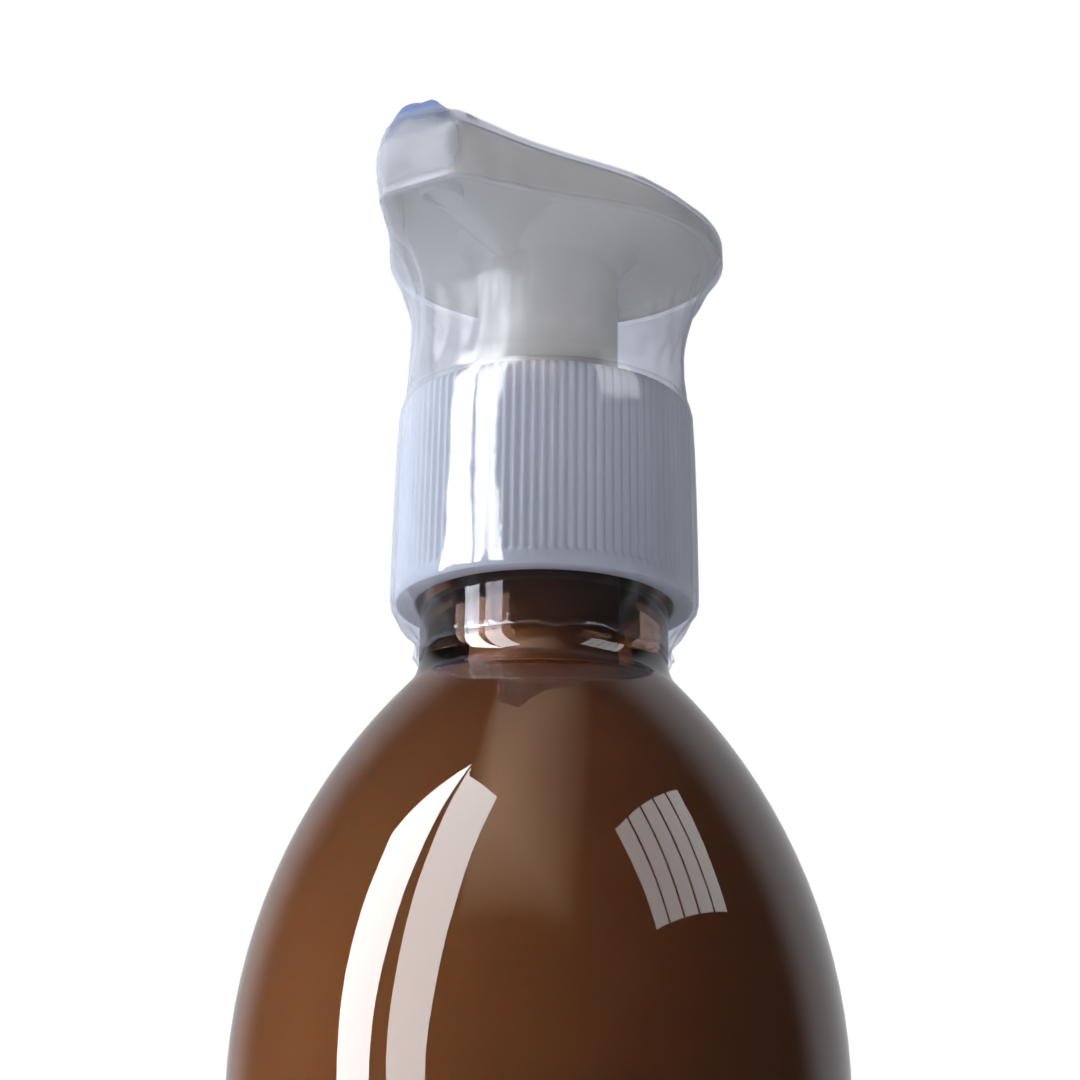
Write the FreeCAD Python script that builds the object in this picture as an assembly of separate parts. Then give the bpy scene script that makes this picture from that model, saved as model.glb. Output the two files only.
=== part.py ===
"""Pump oil bottle: an amber glass bottle closed by a ribbed screw closure that carries a lotion pump.

Millimetres, +Z up, origin at the centre of the base. The nozzle points along -Y.
The pump is drawn at rest, head up: pressing the head moves it down by `stroke`.
"""
import FreeCAD, Part

import math
import os

V = FreeCAD.Vector

# Bottle, blown in amber glass
body_d = 65.4
body_h = 76.4
shoulder_r = 63.5
wall = 2.3
base_t = 5.0
heel_r = 6.0
punt_h = 2.0
punt_flat_d = 12.0
foot_w = 2.7
neck_d = 27.4
neck_blend_r = 4.5
neck_show = 6.45
neck_cover = 1.2
finish_step = 1.2
neck_bore = 20.6
lip_chamfer = 0.6

# Screw closure, moulded with fine ribs
closure_h = 23.5
closure_draft = 0.35
closure_wall = 2.3
closure_top_t = 2.0
closure_edge_r = 1.1
rim_band_h = 1.7
rib_count = 96
rib_depth = 0.32
crest_share = 0.34
flank_share = 0.14

# Sealing stack between the closure and the lip of the neck
gasket_t = 1.0
flange_t = 1.5
flange_d = 24.6

# Pump works
stroke = 12.0
barrel_bore = 14.4
barrel_wall = 1.2
cup_d = 20.0
cup_wall = 0.8
chaplet_wall = 0.9
chaplet_floor_t = 1.5
collar_d = 22.0
collar_h = 2.0
piston_h = 8.0
piston_waist_d = 12.0
lip_h = 1.3
lip_lead = 0.3
stem_d = 8.6
stem_bore = 3.6
foot_t = 1.5
foot_d = 11.6
wire_d = 0.9
coil_d = 10.0
coil_turns = 7
end_tightness = 0.45
spring_reserve = 1.8
ball_d = 5.0
ball_lift = 1.5
port_d = 3.0
port_h = 1.5
cage_t = 1.0
cage_wall = 0.7
cage_hole_d = 1.8
cage_hole_ring_r = 1.6
cage_holes = 4
dip_d = 6.0
dip_wall = 0.9
socket_depth = 10.0
socket_wall = 1.2
dip_floor_gap = 3.0

# Head: a leaf-shaped hollow moulding with the spout under its top
head_gap = 18.2
head_reach = 24.8
head_back_r = 18.8
head_back_y = 1.65
nose_w = 12.0
nose_corner_r = 2.0
nose_h = 6.9
back_h = 2.4
saddle_r = 40.0
head_wall = 1.3
head_top_t = 1.4
head_edge_r = 0.9
sleeve_d = 16.0
sleeve_wall = 1.3
sleeve_engage = 3.0
socket_tube_wall = 1.4
stem_seat_drop = 4.0
stem_grip = 7.0
spout_d = 5.6
spout_bore = 3.2
spout_depth = 3.6
outlet_d = 6.0
outlet_bore = 3.8
outlet_setback = 4.0
outlet_drop = 0.7
stop_pin_d = 2.2
panel_inset = 1.2
panel_depth = 0.5

# Heat-shrunk film over the head, the closure and the neck
film_t = 0.25
film_gap = 0.15
film_waist_h = 6.6
film_waist_d = 31.2
film_flare = 1.6
film_steps = 5
film_tuck_h = 4.3
film_cuff_h = 1.5
film_lap = 5.0

# Clearances
neck_gap = 0.5
seat_gap = 0.1
rest_gap = 0.05
press_gap = 0.02
run_gap = 0.08
slide_gap = 0.25
turn_gap = 0.3
end_gap = 0.7
valve_gap = 0.03


def unit(x, y):
    """A direction of length one."""
    length = math.hypot(x, y)
    return x / length, y / length


def at(r, z):
    """A point of a turned profile."""
    return V(r, 0, z)


def turned(edges):
    """The solid of revolution about Z of a closed profile."""
    face = Part.Face(Part.Wire(edges))
    return face.revolve(V(0, 0, 0), V(0, 0, 1), 360)


def turned_polygon(points):
    """The solid of revolution of a profile with straight sides."""
    loop = [at(r, z) for r, z in points]
    return turned(Part.makePolygon(loop + loop[:1]).Edges)


def rod(d, low, high):
    """A cylinder on the axis between two heights."""
    return Part.makeCylinder(d / 2, high - low, V(0, 0, low))


def tube(d, bore, low, high):
    """A pipe on the axis between two heights."""
    return rod(d, low, high).cut(rod(bore, low, high))


def line(a, b):
    """A straight edge."""
    return Part.LineSegment(a, b).toShape()


def arc(a, middle, b):
    """A round edge through three points."""
    return Part.Arc(a, middle, b).toShape()


def save(name, shape):
    """Writes one piece and says what it holds."""
    solids = shape.Solids
    print(f"{name}: {len(solids)} solid, {shape.Volume / 1000:.3f} cm3, valid {shape.isValid()}")
    solids[0].exportStep(f"parts/{name}.step")


# Heights, from the base up

body_r = body_d / 2
neck_r = neck_d / 2
finish_r = neck_r - finish_step
closure_bore = neck_d + 2 * neck_gap
closure_d = closure_bore + 2 * closure_wall
shoulder_axis_r = body_r - shoulder_r


def neck_blend(arc_r, line_r, blend_r):
    """Where a blend of blend_r joins a shoulder arc to an upright neck line: both ends and the middle."""
    across = line_r + blend_r - shoulder_axis_r
    rise = math.sqrt((arc_r + blend_r) ** 2 - across ** 2)
    ux, uz = unit(across, rise)
    centre_r = line_r + blend_r
    centre_z = body_h + rise
    mx, mz = unit(-ux - 1, -uz)
    on_arc = at(shoulder_axis_r + arc_r * ux, body_h + arc_r * uz)
    middle = at(centre_r + blend_r * mx, centre_z + blend_r * mz)
    return on_arc, middle, at(line_r, centre_z)


def shoulder_middle(arc_r, end):
    """The middle of a shoulder arc that starts level and ends at a point."""
    half = math.atan2(end.z - body_h, end.x - shoulder_axis_r) / 2
    return at(shoulder_axis_r + arc_r * math.cos(half), body_h + arc_r * math.sin(half))


outer_blend = neck_blend(shoulder_r, neck_r, neck_blend_r)
closure_bottom = outer_blend[2].z + neck_show
closure_top = closure_bottom + closure_h
flange_top = closure_top - closure_top_t - seat_gap
flange_bottom = flange_top - flange_t
lip_z = flange_bottom - gasket_t

collar_bottom = closure_top + seat_gap
collar_top = collar_bottom + collar_h
sleeve_bottom = collar_top - sleeve_engage
chaplet_floor_top = sleeve_bottom - stroke - end_gap
chaplet_bottom = chaplet_floor_top - chaplet_floor_t
cup_floor = chaplet_bottom - seat_gap
piston_top = cup_floor - seat_gap
piston_bottom = piston_top - piston_h
foot_top = piston_bottom - rest_gap
foot_bottom = foot_top - foot_t
spring_top = foot_bottom - rest_gap
spring_bottom = spring_top - stroke - (coil_turns + 1) * wire_d - spring_reserve
cage_top = spring_bottom - rest_gap
cage_bottom = cage_top - cage_t
barrel_floor = cage_bottom - rest_gap

ball_r = ball_d / 2
seat_slope = math.radians(45)
seat_drop = (ball_r + valve_gap) / math.sin(seat_slope)
inlet_ball_z = cage_bottom - rest_gap - ball_lift - ball_r
inlet_apex = inlet_ball_z - seat_drop
chamber_r = ball_r + slide_gap + cage_wall + rest_gap
chamber_floor = inlet_apex + chamber_r
port_top = inlet_apex + port_d / 2
port_bottom = port_top - port_h
socket_bottom = port_bottom - socket_depth

head_rim = closure_top + head_gap
stem_top = head_rim - stem_seat_drop
outlet_chamber_r = ball_r + slide_gap
outlet_apex = stem_top - stem_grip - stem_bore / 2
outlet_ball_z = outlet_apex + seat_drop


# Bottle

def cap_arc(inner_r, outer_r, z, rise):
    """The profile of a shallow dome of that rise, from its flat middle out to its edge at z."""
    span = outer_r - inner_r
    radius = (span ** 2 + rise ** 2) / (2 * rise)
    half = math.asin(span / radius) / 2
    middle = at(inner_r + radius * math.sin(half), z + rise - radius * (1 - math.cos(half)))
    return arc(at(inner_r, z + rise), middle, at(outer_r, z))


def make_bottle():
    """A round bottle with a long domed shoulder, a plain neck, a raised base and even walls."""
    inner_r = body_r - wall
    inner_heel_r = heel_r - wall
    foot_out = body_r - heel_r
    foot_in = foot_out - foot_w
    slant = math.sqrt(0.5)
    step_z = closure_bottom + neck_cover
    bore_r = neck_bore / 2
    arc_in = shoulder_r - wall
    inner_blend = neck_blend(arc_in, bore_r, neck_blend_r + neck_r - bore_r)
    flat_r = punt_flat_d / 2
    dome_h = punt_h / 2
    floor_r = inner_r - inner_heel_r
    return turned([
        line(at(0, punt_h), at(flat_r, punt_h)),
        cap_arc(flat_r, foot_in, 0, punt_h),
        line(at(foot_in, 0), at(foot_out, 0)),
        arc(at(foot_out, 0),
            at(foot_out + heel_r * slant, heel_r * (1 - slant)),
            at(body_r, heel_r)),
        line(at(body_r, heel_r), at(body_r, body_h)),
        arc(at(body_r, body_h), shoulder_middle(shoulder_r, outer_blend[0]), outer_blend[0]),
        arc(*outer_blend),
        line(outer_blend[2], at(neck_r, step_z)),
        line(at(neck_r, step_z), at(finish_r, step_z + finish_step)),
        line(at(finish_r, step_z + finish_step), at(finish_r, lip_z - lip_chamfer)),
        line(at(finish_r, lip_z - lip_chamfer), at(finish_r - lip_chamfer, lip_z)),
        line(at(finish_r - lip_chamfer, lip_z), at(bore_r, lip_z)),
        line(at(bore_r, lip_z), inner_blend[2]),
        arc(inner_blend[2], inner_blend[1], inner_blend[0]),
        arc(inner_blend[0], shoulder_middle(arc_in, inner_blend[0]), at(inner_r, body_h)),
        line(at(inner_r, body_h), at(inner_r, base_t + inner_heel_r)),
        arc(at(inner_r, base_t + inner_heel_r),
            at(floor_r + inner_heel_r * slant, base_t + inner_heel_r * (1 - slant)),
            at(floor_r, base_t)),
        cap_arc(flat_r, floor_r, base_t, dome_h),
        line(at(flat_r, base_t + dome_h), at(0, base_t + dome_h)),
        line(at(0, base_t + dome_h), at(0, punt_h)),
    ])


# Closure

def ribbed_ring(outer_r, z):
    """A closed outline of ribs: each has a crest, two flanks and a root."""
    pitch = 2 * math.pi / rib_count
    root_r = outer_r - rib_depth
    corners = []
    for rib in range(rib_count):
        start = rib * pitch
        crest_end = start + crest_share * pitch
        root_start = crest_end + flank_share * pitch
        root_end = start + (1 - flank_share) * pitch
        for r, angle in ((outer_r, start), (outer_r, crest_end), (root_r, root_start), (root_r, root_end)):
            corners.append(V(r * math.cos(angle), r * math.sin(angle), z))
    return Part.makePolygon(corners + corners[:1])


def make_closure():
    """A screw cap whose ribs run up the wall and over its rounded top edge, above a plain rim band."""
    rim_r = closure_d / 2
    band_top = closure_bottom + rim_band_h
    round_z = closure_top - closure_edge_r
    top_r = rim_r - closure_draft
    slant = closure_edge_r * (1 - math.sqrt(0.5))
    rings = [
        ribbed_ring(rim_r, band_top),
        ribbed_ring(top_r, round_z),
        ribbed_ring(top_r - slant, closure_top - slant),
        ribbed_ring(top_r - closure_edge_r, closure_top),
    ]
    ribs = Part.makeLoft(rings, True, True)
    band = rod(closure_d, closure_bottom, band_top)
    shell = band.fuse(ribs)
    inside = rod(closure_bore, closure_bottom, closure_top - closure_top_t)
    chaplet_hole = rod(cup_d - 2 * cup_wall + 2 * turn_gap, closure_bottom, closure_top)
    return shell.cut(inside.fuse(chaplet_hole))


# Pump works, carried by the closure

def make_gasket():
    """A flat foam washer on the lip of the neck."""
    return tube(flange_d, neck_bore, lip_z, flange_bottom)


def make_housing():
    """The barrel: a flange on the washer, a wide cup, the piston bore, the ball seat and the tube socket."""
    cup_r = cup_d / 2
    cup_in = cup_r - cup_wall
    bore_r = barrel_bore / 2
    barrel_r = bore_r + barrel_wall
    socket_in = dip_d / 2 + press_gap
    socket_r = socket_in + socket_wall
    nose_r = chamber_r + socket_wall
    step = cup_r - barrel_r
    return turned_polygon([
        (flange_d / 2, flange_top), (flange_d / 2, flange_bottom), (cup_r, flange_bottom),
        (cup_r, cup_floor - barrel_wall), (barrel_r, cup_floor - barrel_wall - step),
        (barrel_r, barrel_floor - barrel_wall), (nose_r, barrel_floor - barrel_r + nose_r - barrel_wall),
        (nose_r, chamber_floor), (socket_r, chamber_floor - nose_r + socket_r - port_h),
        (socket_r, socket_bottom), (socket_in, socket_bottom), (socket_in, port_bottom),
        (port_d / 2, port_bottom), (port_d / 2, port_top), (chamber_r, chamber_floor),
        (chamber_r, barrel_floor), (bore_r, barrel_floor), (bore_r, cup_floor),
        (cup_in, cup_floor), (cup_in, flange_top),
    ])


def make_chaplet():
    """The collar on the closure: its tube guides the head's sleeve and its floor guides the stem."""
    outer_r = cup_d / 2 - cup_wall - rest_gap
    inner_r = outer_r - chaplet_wall
    guide_r = stem_d / 2 + run_gap
    edge = collar_h / 4
    return turned_polygon([
        (guide_r, chaplet_bottom), (outer_r, chaplet_bottom), (outer_r, collar_bottom),
        (collar_d / 2, collar_bottom), (collar_d / 2, collar_top - edge), (collar_d / 2 - edge, collar_top),
        (inner_r, collar_top), (inner_r, chaplet_floor_top), (guide_r, chaplet_floor_top),
    ])


def make_dip_tube():
    """A pipe from the socket to just over the bottle's floor, cut on a slant so that it can't seal there."""
    low = base_t + punt_h / 2 + dip_floor_gap
    whole = tube(dip_d, dip_d - 2 * dip_wall, low, port_bottom - rest_gap)
    r = dip_d / 2
    wedge = Part.Face(Part.makePolygon([V(-r, -r, low), V(r, -r, low), V(r, -r, low + r), V(-r, -r, low)]))
    return whole.cut(wedge.extrude(V(0, dip_d, 0)))


def make_ball_cage():
    """A pierced disc with a short skirt: it stops the ball's rise and the spring stands on it."""
    skirt_out = 2 * (chamber_r - rest_gap)
    skirt_in = skirt_out - 2 * cage_wall
    disc = rod(barrel_bore - 2 * slide_gap, cage_bottom, cage_top)
    skirt = tube(skirt_out, skirt_in, inlet_ball_z, cage_bottom)
    cage = disc.fuse(skirt)
    for hole in range(cage_holes):
        angle = 2 * math.pi * hole / cage_holes
        centre = V(cage_hole_ring_r * math.cos(angle), cage_hole_ring_r * math.sin(angle), cage_bottom)
        cage = cage.cut(Part.makeCylinder(cage_hole_d / 2, cage_t, centre))
    return cage


def make_ball(z):
    """A check ball on its seat."""
    return Part.makeSphere(ball_r, V(0, 0, z))


def make_piston():
    """A soft ring round the stem, with a wiping lip at each end."""
    bore_r = stem_d / 2 + run_gap
    lip_r = barrel_bore / 2 - run_gap
    waist_r = piston_waist_d / 2
    slope = 2 * lip_h
    return turned_polygon([
        (bore_r, piston_bottom), (waist_r, piston_bottom), (lip_r, piston_bottom + lip_lead),
        (lip_r, piston_bottom + lip_h), (waist_r, piston_bottom + slope), (waist_r, piston_top - slope),
        (lip_r, piston_top - lip_h), (lip_r, piston_top - lip_lead), (waist_r, piston_top),
        (bore_r, piston_top),
    ])


def make_stem():
    """The hollow rod from the piston to the head, with a foot for the spring and a ball seat at its top."""
    stem_r = stem_d / 2
    bore_r = stem_bore / 2
    return turned_polygon([
        (bore_r, foot_bottom), (foot_d / 2, foot_bottom), (foot_d / 2, foot_top), (stem_r, foot_top),
        (stem_r, stem_top), (outlet_chamber_r, stem_top), (outlet_chamber_r, outlet_apex + outlet_chamber_r),
        (bore_r, outlet_apex + bore_r),
    ])


# Return spring

coil_r = coil_d / 2
wind_low = spring_bottom + wire_d / 2
wind_rise = spring_top - spring_bottom - wire_d


def coil_point(share):
    """A point of the wire's centre line: the coils close up towards both ends."""
    angle = 2 * math.pi * coil_turns * share
    rise = share - end_tightness * math.sin(2 * math.pi * share) / (2 * math.pi)
    return V(coil_r * math.cos(angle), coil_r * math.sin(angle), wind_low + wind_rise * rise)


def coil_heading(share):
    """The direction of the wire at that point."""
    angle = 2 * math.pi * coil_turns * share
    sweep = 2 * math.pi * coil_turns * coil_r
    climb = wind_rise * (1 - end_tightness * math.cos(2 * math.pi * share))
    return V(-sweep * math.sin(angle), sweep * math.cos(angle), climb).normalize()


def tangent_arc(start, heading, end):
    """The arc from start, leaving along heading, to end."""
    chord = end - start
    middle_heading = (heading + chord * (1 / chord.Length)).normalize()
    half_angle = chord.getAngle(heading) / 2
    middle = start + middle_heading * (chord.Length / 2 / math.cos(half_angle))
    return arc(start, middle, end)


def biarc(p0, t0, p1, t1):
    """Two arcs that join two points and keep the headings there."""
    chord = p1 - p0
    both = t0 + t1
    bend = 2 * (1 - t0.dot(t1))
    along = chord.dot(both)
    reach = (-along + math.sqrt(along ** 2 + bend * chord.dot(chord))) / bend
    q0 = p0 + t0 * reach
    q1 = p1 - t1 * reach
    joint = (q0 + q1) * 0.5
    return [tangent_arc(p0, t0, joint), tangent_arc(joint, (q1 - q0).normalize(), p1)]


def make_spring():
    """The return spring: one round wire wound in a helix from the ball cage to the stem's foot."""
    quarters = 4 * coil_turns
    path = []
    for k in range(quarters):
        a = k / quarters
        b = (k + 1) / quarters
        path += biarc(coil_point(a), coil_heading(a), coil_point(b), coil_heading(b))
    start = coil_point(0)
    section = Part.Wire(Part.Circle(start, coil_heading(0), wire_d / 2).toShape())
    per_turn = 24
    count = per_turn * coil_turns
    samples = [coil_point(k / count) for k in range(count + 1)]
    gaps = [
        a.distanceToPoint(b) - wire_d
        for i, a in enumerate(samples)
        for b in samples[i + per_turn // 2:]
    ]
    print(f"spring: least gap between turns {min(gaps):.2f} mm")
    return Part.Wire(path).makePipeShell([section], True, False)


# Head

def leaf_corners(grow):
    """The leaf outline, grown outwards, as seven edges: each is its start, middle and end in plan."""
    back_r = head_back_r + grow
    corner_r = nose_corner_r + grow
    corner_x = nose_w / 2 - nose_corner_r
    corner_y = -(head_reach - nose_corner_r)
    dx = corner_x
    dy = corner_y - head_back_y
    normal = math.atan2(dy, dx) + math.acos((back_r - corner_r) / math.hypot(dx, dy))
    nx = math.cos(normal)
    ny = math.sin(normal)
    mx, my = unit(nx, ny - 1)
    bx, by = unit(nx, ny + 1)
    front = (corner_x, corner_y - corner_r)
    corner_end = (corner_x + corner_r * nx, corner_y + corner_r * ny)
    back_start = (back_r * nx, head_back_y + back_r * ny)
    back_end = (0, head_back_y + back_r)
    right = [
        (front, (corner_x + corner_r * mx, corner_y + corner_r * my), corner_end),
        (corner_end, ((corner_end[0] + back_start[0]) / 2, (corner_end[1] + back_start[1]) / 2), back_start),
        (back_start, (back_r * bx, head_back_y + back_r * by), back_end),
    ]
    left = [tuple((-x, y) for x, y in reversed(edge)) for edge in reversed(right)]
    return [((-front[0], front[1]), (0, front[1]), front)] + right + left


def plan_edge(points, z):
    """An edge of an outline at a height: straight where its three points are in line."""
    a, m, b = (V(x, y, z) for x, y in points)
    bow = (m - a).cross(b - a).Length
    return line(a, b) if bow < 1e-6 else arc(a, m, b)


def leaf_prism(grow, low, high):
    """The leaf outline extruded between two heights."""
    outline = Part.Wire([plan_edge(edge, low) for edge in leaf_corners(grow)])
    return Part.Face(outline).extrude(V(0, 0, high - low))


nose_top = head_rim + nose_h
back_top = head_rim + back_h
rise_angle = math.atan2(nose_h - back_h, head_reach)
side = head_back_r + head_back_y + head_reach


def under_top(lift):
    """Everything below the head's top: level at the back, then rising to the nose, raised by lift."""
    set_off = saddle_r * math.tan(rise_angle / 2)
    back = back_top + lift
    bend_end_y = -set_off * math.cos(rise_angle)
    bend_end_z = back + set_off * math.sin(rise_angle)
    middle_y = set_off - saddle_r * math.sin(rise_angle / 2)
    middle_z = back + saddle_r * (1 - math.cos(rise_angle / 2))
    far_z = back + side * math.tan(rise_angle)

    def spot(y, z):
        return V(-side, y, z)

    profile = [
        line(spot(side, 0), spot(side, back)),
        line(spot(side, back), spot(set_off, back)),
        arc(spot(set_off, back), spot(middle_y, middle_z), spot(bend_end_y, bend_end_z)),
        line(spot(bend_end_y, bend_end_z), spot(-side, far_z)),
        line(spot(-side, far_z), spot(-side, 0)),
        line(spot(-side, 0), spot(side, 0)),
    ]
    return Part.Face(Part.Wire(profile)).extrude(V(2 * side, 0, 0))


def top_edges(shape):
    """The edges round the head's top."""
    found = []
    for edge in shape.Edges:
        ends = [v.Z for v in edge.Vertexes]
        level = edge.tangentAt(edge.FirstParameter)
        inside = abs(edge.CenterOfMass.x) < nose_w / 8 and edge.CenterOfMass.y > -head_reach + nose_corner_r
        crossing = abs(level.x) > 0.999 and inside
        if min(ends) > back_top - back_h / 4 and abs(level.z) < 0.5 and not crossing:
            found.append(edge)
    return found


def make_head():
    """The head: a thin-walled leaf with a sleeve, a socket for the stem and a spout that ends downwards."""
    high = nose_top + nose_h
    block = leaf_prism(0, head_rim, high).common(under_top(0))
    block = block.makeFillet(head_edge_r, top_edges(block))
    cavity = leaf_prism(-head_wall, head_rim, high).common(under_top(-head_top_t))
    shell = block.cut(cavity)

    inner = head_top_t / 2
    roof = under_top(-inner)
    sleeve = tube(sleeve_d, sleeve_d - 2 * sleeve_wall, sleeve_bottom, high).common(roof)
    socket_in = stem_d + 2 * press_gap
    socket_low = stem_top - stem_grip
    socket = rod(socket_in + 2 * socket_tube_wall, socket_low, high).common(roof)

    spout_y = -(head_reach - outlet_setback)
    spout_z = back_top - spout_depth
    outlet_z = spout_z - spout_y * math.tan(rise_angle)
    run = V(0, spout_y, outlet_z - spout_z)
    start = V(0, 0, spout_z)
    spout = Part.makeCylinder(spout_d / 2, run.Length, start, run).common(roof)
    outlet_low = head_rim - outlet_drop
    drop = Part.makeCylinder(outlet_d / 2, nose_h, V(0, spout_y, outlet_low)).common(roof)

    head = shell.fuse([sleeve, socket]).fuse(spout).fuse(drop)
    chamber_top = back_top - head_top_t
    bores = [
        rod(socket_in, socket_low, stem_top + rest_gap),
        rod(2 * outlet_chamber_r, stem_top, chamber_top),
        Part.makeCylinder(spout_bore / 2, run.Length, start, run),
        Part.makeCylinder(outlet_bore / 2, outlet_z + spout_bore / 2 - outlet_low, V(0, spout_y, outlet_low)),
    ]
    head = head.cut(bores[0].fuse(bores[1:]))
    pin = rod(stop_pin_d, outlet_ball_z + ball_r + ball_lift + rest_gap, chamber_top + inner)
    head = head.fuse(pin)
    panel_w = nose_w - 2 * panel_inset - head_wall
    panel_low = V(-panel_w / 2, -head_reach, head_rim + panel_inset)
    panel = Part.makeBox(panel_w, panel_depth, nose_h - 2 * panel_inset, panel_low)
    return head.cut(panel).removeSplitter()


# Shrink film

waist_r = film_waist_d / 2
waist_z = closure_top + film_waist_h
flare_top = head_rim - film_gap


def film_section(grow, share, z):
    """A section of the film between the waist, share 0, and the head's outline, share 1."""
    edges = []
    for edge in leaf_corners(grow):
        moved = []
        for x, y in edge:
            ux, uy = unit(x, y)
            r = waist_r + grow - film_gap
            moved.append((r * ux + share * (x - r * ux), r * uy + share * (y - r * uy)))
        edges.append(plan_edge(moved, z))
    return Part.Wire(edges)


def film_form(grow):
    """The film's form as a solid, grown outwards from what it wraps."""
    rim_r = closure_d / 2 + grow
    top_r = closure_d / 2 - closure_draft + grow
    cuff_r = neck_r + grow
    low = closure_bottom - film_tuck_h - film_cuff_h
    cuff_z = closure_bottom - film_tuck_h
    high = nose_top + nose_h
    lower = turned_polygon([
        (0, low), (cuff_r, low), (cuff_r, cuff_z),
        (rim_r - film_tuck_h / 6, closure_bottom - film_tuck_h / 2),
        (rim_r, closure_bottom - grow), (top_r, closure_top - closure_edge_r),
        (top_r - closure_edge_r / 2, closure_top + grow), (waist_r + grow - film_gap, waist_z), (0, waist_z),
    ])
    sections = []
    for k in range(film_steps + 1):
        share = k / film_steps
        z = waist_z + (flare_top - waist_z) * share
        sections.append(film_section(grow, share ** film_flare, z))
    flare = Part.makeLoft(sections, True, True)
    hood = leaf_prism(grow, flare_top, high).common(under_top(grow))
    return lower.fuse([flare, hood])


def make_film():
    """Clear film shrunk tight from the head to the neck, lapped over the head's top round an open middle."""
    inner = film_form(film_gap)
    outer = film_form(film_gap + film_t)
    top_hole = Part.makeCylinder(head_back_r - film_lap, 2 * nose_h, V(0, head_back_y, head_rim))
    return outer.cut(inner).cut(top_hole)


os.makedirs("parts", exist_ok=True)
save("bottle", make_bottle())
save("closure", make_closure())
save("gasket", make_gasket())
save("pump_housing", make_housing())
save("chaplet", make_chaplet())
save("dip_tube", make_dip_tube())
save("ball_cage", make_ball_cage())
save("inlet_ball", make_ball(inlet_ball_z))
save("return_spring", make_spring())
save("piston", make_piston())
save("stem", make_stem())
save("outlet_ball", make_ball(outlet_ball_z))
save("pump_head", make_head())
save("shrink_film", make_film())
print(f"closure {closure_bottom:.2f} to {closure_top:.2f}, lip {lip_z:.2f}")
print(f"head rim {head_rim:.2f}, nose top {nose_top:.2f}")
print(f"barrel floor {barrel_floor:.2f}, cup floor {cup_floor:.2f}, tube socket to {socket_bottom:.2f}")
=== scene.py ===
import math

import bmesh
import bpy
from mathutils import Matrix, Vector, noise


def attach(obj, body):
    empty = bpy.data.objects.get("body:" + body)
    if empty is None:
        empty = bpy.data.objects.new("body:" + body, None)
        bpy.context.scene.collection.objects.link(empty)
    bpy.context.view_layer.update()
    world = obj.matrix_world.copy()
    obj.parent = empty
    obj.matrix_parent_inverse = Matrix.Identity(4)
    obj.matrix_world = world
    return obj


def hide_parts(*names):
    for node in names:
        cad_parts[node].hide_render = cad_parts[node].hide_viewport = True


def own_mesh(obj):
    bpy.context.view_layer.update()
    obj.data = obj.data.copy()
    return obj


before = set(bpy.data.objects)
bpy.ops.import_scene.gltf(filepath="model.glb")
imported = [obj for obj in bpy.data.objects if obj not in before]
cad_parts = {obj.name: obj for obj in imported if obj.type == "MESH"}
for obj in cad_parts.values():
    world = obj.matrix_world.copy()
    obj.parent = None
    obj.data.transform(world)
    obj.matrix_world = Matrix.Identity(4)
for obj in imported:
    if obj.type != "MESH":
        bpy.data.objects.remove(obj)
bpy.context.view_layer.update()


# The bottle: amber glass, blown in one piece, with walls of about 2.3 mm, a raised base and a
# foot ring. One long arc makes the shoulder, and a small blend turns it into the plain neck,
# whose top carries the thread for the closure.

MM = 0.001
FOOT_X = 26.7
BODY_R = 32.7
SHOULDER = (-30.8, 76.4)
BLEND_X = 18.2
NECK_LINE_Z = 123.55
NECK_R = 12.5
BORE_R = 10.3
LIP_Z = 148.9
INSIDE_FLOOR = (4.5, 7.0)
OIL_LEVEL = 118.9
THREAD_PITCH = 25.4 / 6
THREAD_TURNS = 2


def srgb(code):
    """A linear colour from an sRGB hex value."""
    parts = [int(code[i:i + 2], 16) / 255 for i in (1, 3, 5)]
    return [c / 12.92 if c <= 0.04045 else ((c + 0.055) / 1.055) ** 2.4 for c in parts] + [1]


def add_node(tree, kind, settings=None, links=None):
    """Adds a node: settings fill its properties and sockets, links join its sockets to outputs."""
    node = tree.nodes.new(kind)
    for name, value in (settings or {}).items():
        if isinstance(name, int) or name in node.inputs:
            node.inputs[name].default_value = value
        else:
            setattr(node, name, value)
    for name, output in (links or {}).items():
        tree.links.new(output, node.inputs[name])
    return node


def new_material(name, settings):
    """A material with one Principled shader, its node tree and that shader."""
    material = bpy.data.materials.new(name)
    material.use_nodes = True
    shader = material.node_tree.nodes["Principled BSDF"]
    for socket, value in settings.items():
        shader.inputs[socket].default_value = value
    return material, material.node_tree, shader


def trace(bm, start, *strokes):
    """Draws a profile in the XZ plane, in mm: a stroke is a point, or an arc's centre and turn."""
    tip = bm.verts.new((start[0] * MM, 0, start[1] * MM))
    for stroke in strokes:
        if len(stroke) == 3:
            x, z, turn = stroke
            arc = bmesh.ops.spin(bm, geom=[tip], cent=(x * MM, 0, z * MM), axis=(0, -1, 0),
                                 angle=math.radians(turn), steps=2 + round(abs(turn) / 3))
            tip = arc["geom_last"][0]
        else:
            run = bmesh.ops.extrude_vert_indiv(bm, verts=[tip])
            tip = run["verts"][0]
            tip.co = (stroke[0] * MM, 0, stroke[1] * MM)


def turn_round(bm, steps):
    """Turns all that is drawn about Z into a closed form that faces outwards."""
    bmesh.ops.spin(bm, geom=bm.verts[:] + bm.edges[:], cent=(0, 0, 0), axis=(0, 0, 1),
                   angle=math.tau, steps=steps, use_merge=True)
    bmesh.ops.remove_doubles(bm, verts=bm.verts[:], dist=0.002 * MM)
    bmesh.ops.recalc_face_normals(bm, faces=bm.faces[:])


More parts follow.
